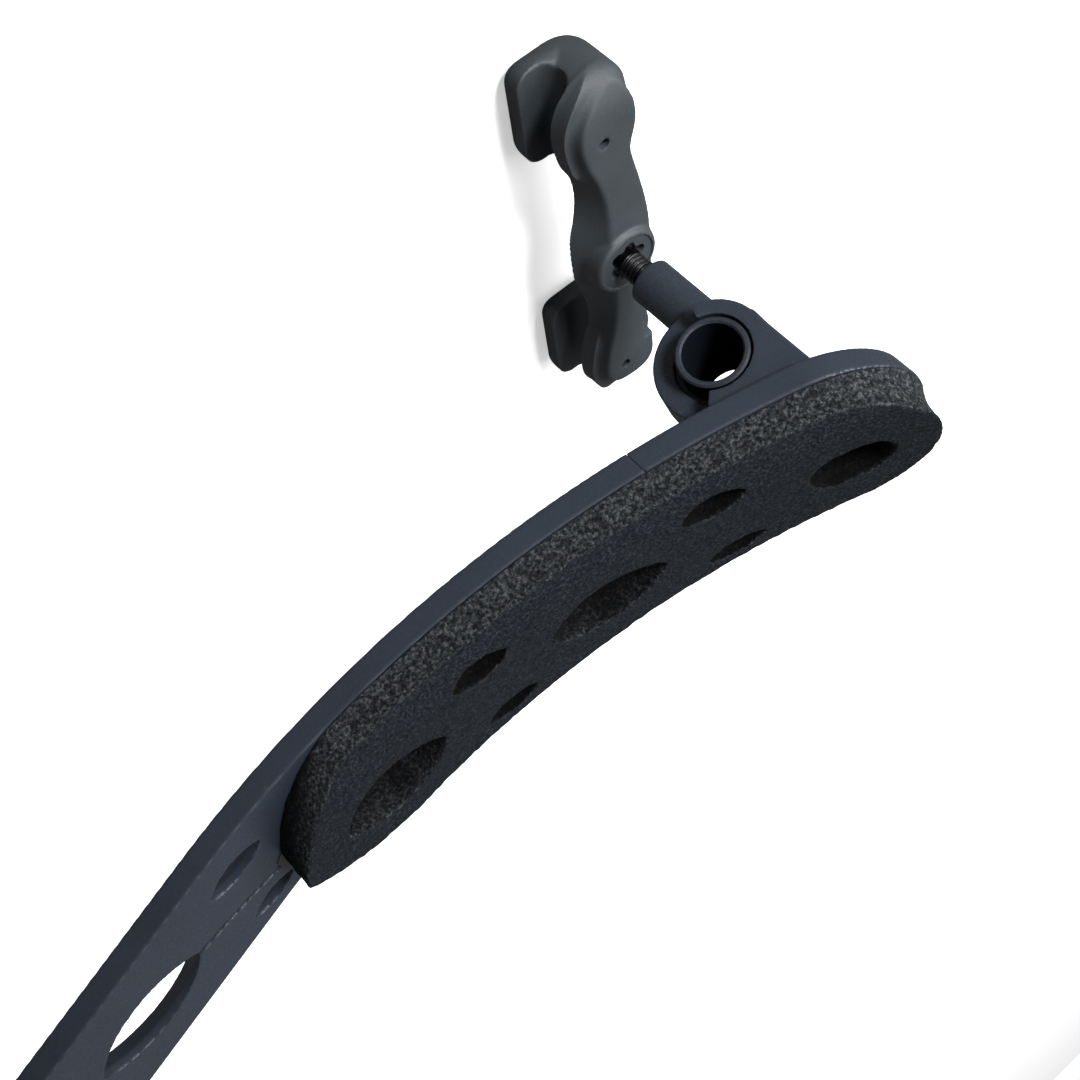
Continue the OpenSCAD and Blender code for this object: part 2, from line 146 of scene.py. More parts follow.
# Bar profile: a hollow for the shoulder, a straight and a low hump, all tangent
LOW_X = 36
LOW_Z = BAR_LO[2]
HOLLOW_R = 180
HOLLOW_REACH = 28                 # from the lowest point to where the straight starts
HUMP_R = 245
STRAIGHT_LEN = 48.5
SLOPE = math.asin(HOLLOW_REACH / HOLLOW_R)
ARC_END = (LOW_X - HOLLOW_REACH, LOW_Z + HOLLOW_R * (1 - math.cos(SLOPE)))
HUMP_X = ARC_END[0] - STRAIGHT_LEN * math.cos(SLOPE) - HUMP_R * math.sin(SLOPE)
HUMP_Z = ARC_END[1] + STRAIGHT_LEN * math.sin(SLOPE) - HUMP_R * math.cos(SLOPE)

# Openings: x, y, length, width
BAR_LENSES = [(68.5, -4.6, 18, 10.6), (32.4, -5, 18, 11.4), (-11, -4.2, 20, 10), (-47, -4.2, 18, 10),
              (51, 3, 9, 4.4), (50.3, -11.8, 8.6, 3.6), (10.8, 1.8, 10, 4.2), (9.4, -11.4, 8.4, 3),
              (-30, 2.8, 9, 4), (-30, -11.2, 9, 3.4), (-70, 2.8, 9, 4), (-70, -11.2, 9, 3.4)]
SHOULDER_PAD_LENSES = [o for o in BAR_LENSES if o[0] > 20] + [(86, 3, 9, 4.6), (85.8, -11.8, 8.6, 3.6)]
CHEST_PAD_LENSES = [o for o in BAR_LENSES if o[0] < -62] + [(-87, -4.2, 16, 10)]
SHOULDER_OVAL = (102.6, -4.6, 10.6, 8.6)
CHEST_OVAL = (-104, -4.2, 9, 7.6)

# Foam pads: the fall of the face towards the neck, the bow of the sides, and the inner ends
PAD_FALL = 2.2
PAD_FALL_Y = 1.5                  # where the fall starts
PAD_BOW = 0.5
SHOULDER_UPPER_ARC = (38.8, -17.2, 26.6)   # x, y, radius
SHOULDER_LOWER_ARC = (33.4, 6.5, 22.2)
SHOULDER_TIP_X = 14.7
CHEST_SLANT_AT = (-62, -6.5)      # a point on the slanted end
CHEST_SLANT_ALONG = (5, 15.7)
CHEST_TIP_X = -57


# ---------- signed distance shapes ----------

def smooth_min(a, b, k):
    h = np.clip(0.5 + 0.5 * (b - a) / k, 0, 1)
    return b + (a - b) * h - k * h * (1 - h)


def smooth_max(a, b, k):
    return -smooth_min(-a, -b, k)


def clamp_unit(value):
    """A number held between 0 and 1."""
    return min(1, max(0, value))


def circle_2d(u, v, r):
    return np.hypot(u, v) - r


def box_2d(u, v, half_u, half_v):
    du = np.abs(u) - half_u
    dv = np.abs(v) - half_v
    return np.hypot(np.maximum(du, 0), np.maximum(dv, 0)) + np.minimum(np.maximum(du, dv), 0)


def slab(t, lo, hi):
    return np.abs(t - (lo + hi) / 2) - (hi - lo) / 2


def lens_2d(x, y, lens):
    cx, cy, length, width = lens
    r = (length * length / 4 + width * width / 4) / width
    rise = r - width / 2
    return smooth_max(circle_2d(x - cx, y - cy - rise, r), circle_2d(x - cx, y - cy + rise, r), 0.5)


def oval_2d(x, y, oval):
    cx, cy, length, width = oval
    reach = (length - width) / 2
    return np.hypot(x - cx - np.clip(x - cx, -reach, reach), y - cy) - width / 2


def wedge(u, v, angle_from, angle_to):
    """Inside the sector between two angles, narrower than half a turn, given in degrees."""
    a = math.radians(angle_from)
    b = math.radians(angle_to)
    side_a = u * math.sin(a) - v * math.cos(a)
    side_b = -u * math.sin(b) + v * math.cos(b)
    return np.maximum(side_a, side_b)


def bar_depth(x, z):
    """Height above the bar's violin-side face, square to the face."""
    occlusion = HOLLOW_R - np.hypot(x - LOW_X, z - LOW_Z - HOLLOW_R)
    hump = np.hypot(x - HUMP_X, z - HUMP_Z) - HUMP_R
    dx = x - ARC_END[0]
    dz = z - ARC_END[1]
    straight = dx * math.sin(SLOPE) + dz * math.cos(SLOPE)
    along = dx * math.cos(SLOPE) - dz * math.sin(SLOPE)
    return np.where(along > 0, occlusion, np.where(along < -STRAIGHT_LEN, hump, straight))


def plan_2d(x, y):
    """Outline of the bar seen from above: straight sides and round ends."""
    reach = BAR_END - BAR_W / 2
    return np.hypot(x - np.clip(x, -reach, reach), y - BAR_Y) - BAR_W / 2


# ---------- meshing ----------

def slope_of(shape, points):
    """Unit normals of a shape at some points."""
    e = 0.01
    slope = np.stack([shape(*(points + d).T) - shape(*(points - d).T) for d in np.eye(3) * e], 1)
    return slope / np.maximum(np.linalg.norm(slope, axis=1), 1e-9)[:, None]


def edge_crossings(shape, value, axes, k):
    """Grid edges along axis k that the surface crosses: their lower corners' indices, the crossing
    points, and whether each edge leaves the shape there."""
    before = tuple(slice(0, -1) if m == k else slice(None) for m in range(3))
    after = tuple(slice(1, None) if m == k else slice(None) for m in range(3))
    at = np.stack(np.nonzero((value[before] < 0) != (value[after] < 0)), 1)
    step = axes[0][1] - axes[0][0]
    low = np.stack([axes[m][at[:, m]] for m in range(3)], 1)
    leaving = value[tuple(at.T)] < 0
    t0 = np.zeros(len(at))
    t1 = np.ones(len(at))
    direction = np.eye(3)[k] * step
    for _ in range(8):
        t = (t0 + t1) / 2
        same = (shape(*(low + t[:, None] * direction).T) < 0) == leaving
        t0 = np.where(same, t, t0)
        t1 = np.where(same, t1, t)
    return at, low + ((t0 + t1) / 2)[:, None] * direction, leaving


def mesh_surface(shape, lo, hi, step):
    """Vertices and quads of the surface where shape(x, y, z) is zero, with its edges kept crisp."""
    axes = [a + step * np.arange(int(math.ceil((b - a) / step)) + 1) for a, b in zip(lo, hi)]
    value = shape(*np.meshgrid(*axes, indexing="ij"))
    cells_shape = tuple(len(a) - 1 for a in axes)
    crossings = [edge_crossings(shape, value, axes, k) for k in range(3)]
    rings = []
    for k, (at, _, leaving) in enumerate(crossings):
        i, j = [m for m in range(3) if m != k]
        ring = []
        for di, dj in ((1, 1), (0, 1), (0, 0), (1, 0)):
            cell = at.copy()
            cell[:, i] -= di
            cell[:, j] -= dj
            ring.append(np.ravel_multi_index(tuple(cell.T), cells_shape))
        ring = np.stack(ring, 1)
        flip = leaving == (k == 1)
        rings.append(np.where(flip[:, None], ring[:, ::-1], ring))
    used, quads = np.unique(np.concatenate(rings), return_inverse=True)
    quads = quads.reshape(-1, 4)
    points = np.concatenate([c[1] for c in crossings])
    normals = slope_of(shape, points)
    count = np.zeros(len(used))
    mass = np.zeros((len(used), 3))
    fit = np.zeros((len(used), 3, 3))
    pull = np.zeros((len(used), 3))
    for c in range(4):
        target = quads[:, c]
        np.add.at(count, target, 1)
        np.add.at(mass, target, points)
        np.add.at(fit, target, normals[:, :, None] * normals[:, None, :])
        np.add.at(pull, target, normals * (normals * points).sum(1)[:, None])
    mass /= count[:, None]
    stiffness = 0.03 * count
    fit += stiffness[:, None, None] * np.eye(3)
    pull += stiffness[:, None] * mass
    vertices = np.linalg.solve(fit, pull[:, :, None])[:, :, 0]
    corner = np.stack([axes[m][index] for m, index in enumerate(np.unravel_index(used, cells_shape))], 1)
    return np.clip(vertices, corner - 0.1 * step, corner + 1.1 * step), quads


def linked(name, data):
    """An object made from some data and put in the scene."""
    obj = bpy.data.objects.new(name, data)
    bpy.context.scene.collection.objects.link(obj)
    return obj


def smooth_object(name, points, faces, mirrored=False):
    """A smooth-shaded object from points in millimetres; mirrored turns it into the chest end's."""
    if mirrored:
        points = np.array(points) * [-1, 1, 1]
        faces = [f[::-1] for f in faces]
    mesh = bpy.data.meshes.new(name)
    mesh.from_pydata((np.array(points) * MM).tolist(), [], faces)
    mesh.validate()
    mesh.polygons.foreach_set("use_smooth", [True] * len(mesh.polygons))
    return linked(name, mesh)


def crisp_object(name, points, faces, mirrored=False):
    """A smooth-shaded object whose steep edges stay sharp."""
    obj = smooth_object(name, points, faces, mirrored)
    obj.data.set_sharp_from_angle(angle=math.radians(38))
    return obj


def moulded(name, shape, lo, hi, step, mirrored=False, relief=None):
    """An object meshed from a distance shape; relief moves the finished points a little."""
    margin = 2.5 * step
    points, faces = mesh_surface(shape, [v - margin for v in lo], [v + margin for v in hi], step)
    if relief is not None:
        points = relief(points)
    return crisp_object(name, points, faces.tolist(), mirrored)


def lattice_noise(points, size, seed):
    """Smooth noise between -1 and 1 with features of the given size."""
    n = 32
    grid = np.random.RandomState(seed).uniform(-1, 1, (n, n, n))
    base = np.floor(points / size).astype(int)
    share = points / size - base
    share = share * share * (3 - 2 * share)
    total = 0
    for corner in np.ndindex(2, 2, 2):
        weight = np.where(corner, share, 1 - share).prod(1)
        total = total + weight * grid[tuple(((base + corner) % n).T)]
    return total


# ---------- shapes of the parts ----------

def plate_shape(x, y, z):
    """The bar as one curved strip with chamfered edges and no openings."""
    face = slab(bar_depth(x, z), 0, BAR_T)
    edge = plan_2d(x, y)
    chamfer = (face + edge + EDGE_CHAMFER) / math.sqrt(2)
    return smooth_max(smooth_max(face, edge, 0.2), chamfer, 0.2)


def groove_2d(x, y):
    """A narrow slit that bends from the tip of the big middle opening to under the shoulder pad."""
    start = -2.5
    end = 14.5
    bend_start = start + 1
    widening = 3
    share = np.clip((x - bend_start) / (end - bend_start), 0, 1)
    line_y = -4.4 - 3.8 * share ** 1.3
    half_width = 0.42 + 0.9 * np.clip((x - end + widening) / widening, 0, 1) ** 2
    return np.hypot(x - np.clip(x, start, end), y - line_y) - half_width


def bar_shape(x, y, z):
    """The bar between the seams, with openings that flare towards the violin side."""
    flare = 1.3
    flare_height = 2.4
    rim_chamfer = 0.1
    body = smooth_max(plate_shape(x, y, z), np.abs(x) - SEAM_X, 0.1)
    openings = groove_2d(x, y)
    for lens in BAR_LENSES:
        openings = np.minimum(openings, lens_2d(x, y, lens))
    d = bar_depth(x, z)
    openings = openings - flare * np.clip(1 - d / flare_height, 0, 1)
    rim = (slab(d, 0, BAR_T) - openings + rim_chamfer) / math.sqrt(2)
    return smooth_max(smooth_max(body, -openings, 0.15), rim, 0.15)


def cheek_2d(u, v, window):
    """Side view of one cheek of the hinge, round the hinge axis."""
    start, middle, end = window
    eye = circle_2d(u, v, EYE_R)
    web = box_2d(u - (EYE_R + WEB_BACK) / 2, v - WEB_RISE / 2, (EYE_R - WEB_BACK) / 2, WEB_RISE / 2)
    solid = smooth_min(eye, web, 0.6)
    opening = np.minimum(wedge(u, v, start, middle), wedge(u, v, middle, end))
    solid = smooth_max(solid, -opening, 0.5)
    return smooth_max(solid, -circle_2d(u, v, SLEEVE_R + 0.35), 0.3)


def end_plate_shape(x, y, z, side):
    """An end of the bar with the hinge's two cheeks; side is 1 at the shoulder and -1 at the chest."""
    u = side * x - HUB_X
    v = z - HUB_Z
    plate = smooth_max(plate_shape(x, y, z), SEAM_X + SEAM_GAP - side * x, 0.25)
    front = smooth_max(cheek_2d(u, v, FRONT_WINDOW), slab(y, *FRONT_CHEEK), 0.3)
    back = smooth_max(cheek_2d(u, v, BACK_WINDOW), slab(y, *BACK_CHEEK), 0.3)
    cheeks = np.maximum(np.minimum(front, back), bar_depth(x, z) - BAR_T / 2)
    body = smooth_min(plate, cheeks, 0.35)
    pocket = smooth_max(circle_2d(u, v, DISC_R + 0.45), slab(y, BACK_CHEEK[1], FRONT_CHEEK[0]), 0.2)
    return smooth_max(body, -pocket, 0.2)


def shoulder_end_shape(x, y, z):
    return end_plate_shape(x, y, z, 1)


def chest_end_shape(x, y, z):
    return end_plate_shape(x, y, z, -1)


def disc_2d(u, v):
    """The swivel disc: full size only where the cheek's window shows it."""
    shown = smooth_max(circle_2d(u, v, DISC_R), -wedge(u, v, *DISC_HIDDEN), 0.3)
    return np.minimum(circle_2d(u, v, DISC_HIDDEN_R), shown)


def stem_shape(x, y, z):
    """Disc and barrel of a folding stem, with the sleeve's eye and the screw's bore."""
    u = x - HUB_X
    v = z - HUB_Z
    from_screw = np.hypot(x - STEM_X, y)
    disc = smooth_max(disc_2d(u, v), slab(y, *DISC_Y), 0.35)
    barrel = smooth_max(from_screw - BARREL_R, slab(z, BARREL_END, BARREL_TOP), 0.55)
    body = smooth_min(disc, barrel, 0.4)
    body = smooth_max(body, -smooth_max(circle_2d(u, v, WASHER_ROOM_R), y - DISC_Y[0], 0.2), 0.3)
    body = smooth_max(body, -smooth_max(circle_2d(u, v, SLEEVE_R + 0.8), EYE_STEP_Y - y, 0.2), 0.3)
    body = smooth_max(body, -circle_2d(u, v, SLEEVE_R + 0.05), 0.2)
    seat = np.maximum(from_screw - INSERT_HI[0] + STEM_X, slab(z, 0, INSERT_HI[2]))
    channel_top = SCREW_HI[2] + SCREW_TRAVEL_IN + 0.3
    channel = np.maximum(from_screw - SCREW_R - 0.1, slab(z, 0, channel_top))
    return smooth_max(body, -np.minimum(seat, channel), 0.3)


# Half of the fork seen from above: distance from its middle, inner foot, inner top edge, outer edge, height
FORK_LINE = np.array([(0, -6.3, -2, 4.8, 4.2), (4, -6.2, -2, 4.8, 4.2), (8, -4.9, -1.9, 4.4, 4.2),
                      (12, -4.3, -2.1, 3.8, 4.1), (16, -4.7, -3, 3, 4.1), (18.5, -5.7, -4, 2.6, 4.1),
                      (22.5, -6.4, -4.9, 3.9, 4.2), (25.5, -6.3, -4.6, 4, 4.1), (28, -5.3, -2.4, 3.3, 3.6),
                      (30, -3.6, 0.2, 2.4, 2.6), (31.5, -1.6, 1.4, 1.8, 1.6)])
FORK_FINE = np.arange(-36, 36, 0.05)


def smoothed_line(column):
    """One column of the fork's outline on fine steps along the whole fork, averaged twice."""
    raw = np.interp(np.abs(FORK_FINE), FORK_LINE[:, 0], FORK_LINE[:, column])
    window = np.ones(45) / 45
    return np.convolve(np.convolve(raw, window, "same"), window, "same")


FORK_FOOT, FORK_RIDGE, FORK_RIM, FORK_TOP = [smoothed_line(c) for c in (1, 2, 3, 4)]


def fork_top_shape(u, v, z):
    """Long upper part of a fork: steep inner wall with a crisp upper edge, rounded outer edge."""
    lines = (FORK_FOOT, FORK_RIDGE, FORK_RIM, FORK_TOP)
    foot, ridge, rim, top = [np.interp(v, FORK_FINE, line) for line in lines]
    rim = rim + np.where(v < 0, 1.4, 0) * np.exp(-((v + LUG_V) / 2.4) ** 2)
    rise = np.clip(z / top, 0, 1)
    inner = (foot + rise * (ridge - foot) - u) * 0.9
    outer = (u - rim - 0.2 * (1 - rise)) * 0.95
    end = np.abs(v) - FORK_HALF + 0.6 * rise
    plan = smooth_max(smooth_max(inner, end, 2.5), outer, 1.6)
    return smooth_max(smooth_max(plan, z - top, 0.45), 0.15 - z, 0.3)


def claw_shape(u, v, z):
    """C-shaped claws: outer wall with a rounded heel, seat and lip."""
    along = np.abs(np.abs(v) - CLAW_MIDDLE) - CLAW_HALF
    heel = smooth_max(u - CLAW_BACK, CLAW_BOTTOM - z, 4.2)
    block = smooth_max(smooth_max(heel, CLAW_FRONT - u, 2.2), z - CLAW_TOP, 1.4)
    foot = np.interp(v, FORK_FINE, FORK_FOOT)
    block = np.maximum(block, np.minimum(foot - u, z + THROAT_R))
    return smooth_max(block, along, 3.4)


def lobed_recess(u, v, z):
    """Lobed recess of the collar, round the screw."""
    lobe_middle = 2.2
    lobe_r = 0.9
    lobes = np.hypot(u, v) - SCREW_R - 0.4
    for k in range(LOBES):
        a = FORK_TURN + 2 * math.pi * k / LOBES
        lobe = np.hypot(u - lobe_middle * math.cos(a), v - lobe_middle * math.sin(a)) - lobe_r
        lobes = np.minimum(lobes, lobe)
    return np.maximum(lobes, RECESS_FLOOR - z)


def fork_shape(x, y, z):
    """Soft cover of a fork, in the fork's own directions: u outward, w along the violin's edge from the
    screw, v the same from the fork's middle."""
    c = math.cos(FORK_TURN)
    s = math.sin(FORK_TURN)
    u = (x - STEM_X) * c - y * s
    w = (x - STEM_X) * s + y * c
    v = w - FORK_Y0
    body = smooth_min(fork_top_shape(u, v, z), claw_shape(u, v, z), 0.8)
    mouth = 8
    throat = np.minimum(circle_2d(u - THROAT_U, z + THROAT_R, THROAT_R),
                        box_2d(u - THROAT_U + mouth, z + THROAT_R, mouth, THROAT_R))
    body = smooth_max(body, -throat, 0.35)
    collar = smooth_max(np.hypot(u, w) - COLLAR_R, slab(z, 0.3, COLLAR_Z), 0.8)
    body = smooth_min(body, collar, 0.5)
    dish = np.maximum(np.hypot(u, w) - COLLAR_R + 0.8, COLLAR_Z - 0.25 - z)
    body = smooth_max(body, -dish, 0.3)
    body = smooth_max(body, -lobed_recess(u, w, z), 0.25)
    pocket = np.maximum(np.maximum(2.5 - u, RECESS_FLOOR - z), np.abs(v + LUG_V) - 2.3)
    body = smooth_max(body, -pocket, 0.3)
    mould_holes = np.maximum(np.hypot(u + 1.5, np.abs(w - 0.3) - CLAW_MIDDLE) - 0.8, 2.9 - z)
    return smooth_max(body, -mould_holes, 0.25)


def square_x(x, d):
    """Where a line square to the bar's face through a point meets the bar's outer face."""
    occlusion = LOW_X + (x - LOW_X) * (HOLLOW_R - BAR_T) / (HOLLOW_R - d)
    hump = HUMP_X + (x - HUMP_X) * (HUMP_R + BAR_T) / (HUMP_R + d)
    return np.where(x > LOW_X, occlusion, np.where(x < HUMP_X, hump, x))


def pad_shape(x, y, z, lenses, oval, end_2d):
    """Foam pad: sides square to the bar and slightly waisted, and a face that falls towards the neck."""
    d = bar_depth(x, z)
    lo = BAR_T + ADHESIVE_T
    hi = BAR_T + PAD_T
    share = np.clip((d - lo) / (hi - lo), 0, 1)
    edge = plan_2d(square_x(x, d), y)
    bow = PAD_BOW * (np.sin(math.pi * share) - share)
    body = smooth_max(edge + bow, end_2d(x, y), 0.4)
    openings = oval_2d(x, y, oval)
    for lens in lenses:
        openings = np.minimum(openings, lens_2d(x, y, lens))
    body = smooth_max(body, -openings, 0.3)
    crown = hi - PAD_FALL * np.clip((y - PAD_FALL_Y) / (PAD_EDGE_Y - PAD_FALL_Y), 0, 1.2) ** 2
    body = smooth_max(body, d - crown, 0.4)
    return smooth_max(body, lo - d, 0.2)


def arc_end(x, y, arc):
    """Inside on the bar's side of the left half of a circle."""
    cx, cy, r = arc
    return np.hypot(np.minimum(x - cx, 0), y - cy) - r


def shoulder_pad_end(x, y):
    """Inner end of the shoulder pad: two shallow curves that meet in a blunt tip."""
    upper = arc_end(x, y, SHOULDER_UPPER_ARC)
    lower = np.where(y < SHOULDER_LOWER_ARC[1], arc_end(x, y, SHOULDER_LOWER_ARC), -5)
    return smooth_max(smooth_max(upper, lower, 0.5), SHOULDER_TIP_X - x, 0.4)


def chest_pad_end(x, y):
    """Inner end of the chest pad: a slanted cut with its tip taken off."""
    at_x, at_y = CHEST_SLANT_AT
    run, rise = CHEST_SLANT_ALONG
    slant = ((x - at_x) * rise - (y - at_y) * run) / math.hypot(run, rise)
    return smooth_max(slant, x - CHEST_TIP_X, 0.4)


def shoulder_pad_shape(x, y, z):
    return pad_shape(x, y, z, SHOULDER_PAD_LENSES, SHOULDER_OVAL, shoulder_pad_end)


def chest_pad_shape(x, y, z):
    return pad_shape(x, y, z, CHEST_PAD_LENSES, CHEST_OVAL, chest_pad_end)


def foam_relief(points):
    """Uneven surface of cut foam."""
    shift = [0.6 * lattice_noise(points, 0.9, seed) + 0.4 * lattice_noise(points, 0.45, seed + 3)
             for seed in (3, 4, 5)]
    return points + 0.11 * np.stack(shift, 1)


# ---------- turned parts ----------

def sleeve_mesh(name, mirrored):
    """Hinge sleeve: a tube round the hinge axis with chamfered ends."""
    segments = 96
    chamfer = 0.25
    bore_r = SLEEVE_R - SLEEVE_WALL
    back, front = SLEEVE_LO[1], SLEEVE_HI[1]
    outline = [(bore_r, front - chamfer), (bore_r, back + chamfer), (bore_r + chamfer, back),
               (SLEEVE_R - chamfer, back), (SLEEVE_R, back + chamfer), (SLEEVE_R, front - chamfer),
               (SLEEVE_R - chamfer, front), (bore_r + chamfer, front)]
    points = []
    faces = []
    n = len(outline)
    for i in range(segments):
        a = 2 * math.pi * i / segments
        next_i = (i + 1) % segments
        for j, (r, y) in enumerate(outline):
            next_j = (j + 1) % n
            points.append([HUB_X + r * math.cos(a), y, HUB_Z + r * math.sin(a)])
            faces.append([i * n + j, next_i * n + j, next_i * n + next_j, i * n + next_j])
    return crisp_object(name, points, faces, mirrored)


def thread_ridge(z, turn):
    """Height of the screw's thread at a place, from 0 in a groove to 1 on a crest."""
    ridge = clamp_unit(2.6 * abs((z / PITCH - turn) % 1 - 0.5) - 0.15)
    fade_in = clamp_unit((z - THREAD_START) / 0.6)
    fade_out = clamp_unit((SCREW_HI[2] - 0.5 - z) / 0.4)
    return ridge * fade_in * fade_out


def screw_mesh(name, mirrored):
    """Height screw with a right-hand helical thread and a plain lower end."""
    segments = 64
    length = SCREW_HI[2] - SCREW_LO[2]
    rows = int(length / (PITCH / 10))
    hand = -1 if mirrored else 1
    points = []
    faces = []
    for j in range(rows + 1):
        z = SCREW_LO[2] + length * j / rows
        for i in range(segments):
            turn = i / segments
            r = SCREW_R - THREAD_DEPTH + THREAD_DEPTH * thread_ridge(z, hand * turn)
            a = 2 * math.pi * turn
            points.append([STEM_X + r * math.cos(a), r * math.sin(a), z])
    bottom = len(points)
    points.append([STEM_X, 0, SCREW_LO[2]])
    points.append([STEM_X, 0, SCREW_HI[2]])
    last_row = rows * segments
    for i in range(segments):
        k = (i + 1) % segments
        for row in range(0, last_row, segments):
            faces.append([row + i, row + k, row + segments + k, row + segments + i])
        faces.append([bottom, k, i])
        faces.append([bottom + 1, last_row + i, last_row + k])
    return smooth_object(name, points, faces, mirrored)


# ---------- materials ----------

def new_material(name):
    material = bpy.data.materials.new(name)
    material.use_nodes = True
    tree = material.node_tree
    tree.nodes.clear()
    output = tree.nodes.new("ShaderNodeOutputMaterial")
    surface = tree.nodes.new("ShaderNodeBsdfPrincipled")
    tree.links.new(surface.outputs["BSDF"], output.inputs["Surface"])
    return material, tree, surface


def coordinates(tree):
    return tree.nodes.new("ShaderNodeTexCoord").outputs["Object"]


def noise(tree, size_mm, detail=2.0, roughness=0.5):
    node = tree.nodes.new("ShaderNodeTexNoise")
    node.inputs["Scale"].default_value = 1000 / size_mm
    node.inputs["Detail"].default_value = detail
    node.inputs["Roughness"].default_value = roughness
    tree.links.new(coordinates(tree), node.inputs["Vector"])
    return node.outputs["Fac"]


def cells(tree, size_mm):
    node = tree.nodes.new("ShaderNodeTexVoronoi")
    node.inputs["Scale"].default_value = 1000 / size_mm
    tree.links.new(coordinates(tree), node.inputs["Vector"])
    return node.outputs["Distance"]


def ramp(tree, value, stops):
    node = tree.nodes.new("ShaderNodeValToRGB")
    while len(node.color_ramp.elements) < len(stops):
        node.color_ramp.elements.new(0.5)
    for element, (position, colour) in zip(node.color_ramp.elements, stops):
        element.position = position
        if isinstance(colour, (int, float)):
            colour = (colour, colour, colour)
        element.color = (*colour, 1)
    tree.links.new(value, node.inputs["Fac"])
    return node.outputs["Color"]


def maths(tree, operation, a, b):
    node = tree.nodes.new("ShaderNodeMath")
    node.operation = operation
    for k, value in enumerate((a, b)):
        if isinstance(value, (int, float)):
            node.inputs[k].default_value = value
        else:
            tree.links.new(value, node.inputs[k])
    return node.outputs[0]


def mix(tree, factor, a, b, blend="MIX"):
    node = tree.nodes.new("ShaderNodeMix")
    node.data_type = "RGBA"
    node.blend_type = blend
    for socket, value in ((node.inputs["Factor"], factor), (node.inputs["A"], a), (node.inputs["B"], b)):
        if hasattr(value, "is_linked"):
            tree.links.new(value, socket)
        elif isinstance(value, (int, float)):
            socket.default_value = value
        else:
            socket.default_value = (*value, 1)
    return node.outputs["Result"]


def bump(tree, height, distance_mm, strength=1.0, base=None):
    node = tree.nodes.new("ShaderNodeBump")
    node.inputs["Distance"].default_value = distance_mm * MM
    node.inputs["Strength"].default_value = strength
    tree.links.new(height, node.inputs["Height"])
    if base is not None:
        tree.links.new(base, node.inputs["Normal"])
    return node.outputs["Normal"]


def edge_highlight(tree):
    """0 on flat faces, 1 on sharp outer edges, where a highlight is painted."""
    node = tree.nodes.new("ShaderNodeNewGeometry")
    return ramp(tree, node.outputs["Pointiness"], [(0.52, 0.0), (0.60, 1.0)])


def facing(tree, axis):
    """How much a face looks along an axis, from -1 to 1."""
    geometry = tree.nodes.new("ShaderNodeNewGeometry")
    split = tree.nodes.new("ShaderNodeSeparateXYZ")
    tree.links.new(geometry.outputs["True Normal"], split.inputs[0])
    return split.outputs[axis]


def moulded_plastic(name, colour, highlight_colour, rough, grain_mm, grain_height_mm):
    """Satin moulded plastic with an eroded grain, a faint flow pattern, a painted glint on the grain's peaks
    and painted highlights along the edges.
    """
    material, tree, surface = new_material(name)
    flow = ramp(tree, noise(tree, 14, 3), [(0.3, 0.88), (0.7, 1.1)])
    body = mix(tree, 1.0, colour, flow, "MULTIPLY")
    grain = noise(tree, grain_mm, 3, 0.65)
    # Painted glint: the grain's peaks are lightened towards the highlight colour
    glint = ramp(tree, grain, [(0.45, 0.0), (0.66, 1.0)])
    body = mix(tree, maths(tree, "MULTIPLY", glint, 0.35), body, highlight_colour)
    # Painted highlight: convex edges are lightened towards the highlight colour
    body = mix(tree, maths(tree, "MULTIPLY", edge_highlight(tree), 0.5), body, highlight_colour)
    tree.links.new(body, surface.inputs["Base Color"])
    sheen = ramp(tree, grain, [(0.35, rough + 0.08), (0.65, rough - 0.06)])
    tree.links.new(sheen, surface.inputs["Roughness"])
    pits = bump(tree, grain, grain_height_mm)
    wave = bump(tree, noise(tree, 3.5, 2), 0.02, 0.5, pits)
    tree.links.new(wave, surface.inputs["Normal"])
    surface.inputs["Specular IOR Level"].default_value = 0.32
    return material


def shade_bore(material):
    """Darkens the bore of a tube along Y and takes its shine off."""
    tree = material.node_tree
    surface = tree.nodes["Principled BSDF"]
    face = ramp(tree, maths(tree, "ABSOLUTE", facing(tree, "Y"), 0), [(0.2, 0.0), (0.6, 1.0)])
    colour = surface.inputs["Base Color"].links[0].from_socket
    tree.links.new(mix(tree, face, (0.004, 0.005, 0.007), colour), surface.inputs["Base Color"])
    tree.links.new(maths(tree, "MULTIPLY", face, 0.25), surface.inputs["Specular IOR Level"])


def soft_rubber(name):
    """Matt soft-touch rubber with pale dust and a painted highlight on its edges."""
    material, tree, surface = new_material(name)
    patch = ramp(tree, noise(tree, 6, 4), [(0.3, (0.016, 0.021, 0.025)), (0.7, (0.022, 0.028, 0.033))])
    dust = ramp(tree, noise(tree, 0.5, 3, 0.7), [(0.56, 0.0), (0.72, 0.35)])
    body = mix(tree, dust, patch, (0.036, 0.043, 0.048))
    # Painted highlight: convex edges are lightened
    body = mix(tree, maths(tree, "MULTIPLY", edge_highlight(tree), 0.35), body, (0.044, 0.051, 0.056))
    tree.links.new(body, surface.inputs["Base Color"])
    surface.inputs["Roughness"].default_value = 0.62
    tree.links.new(bump(tree, cells(tree, 0.16), 0.02), surface.inputs["Normal"])
    return material


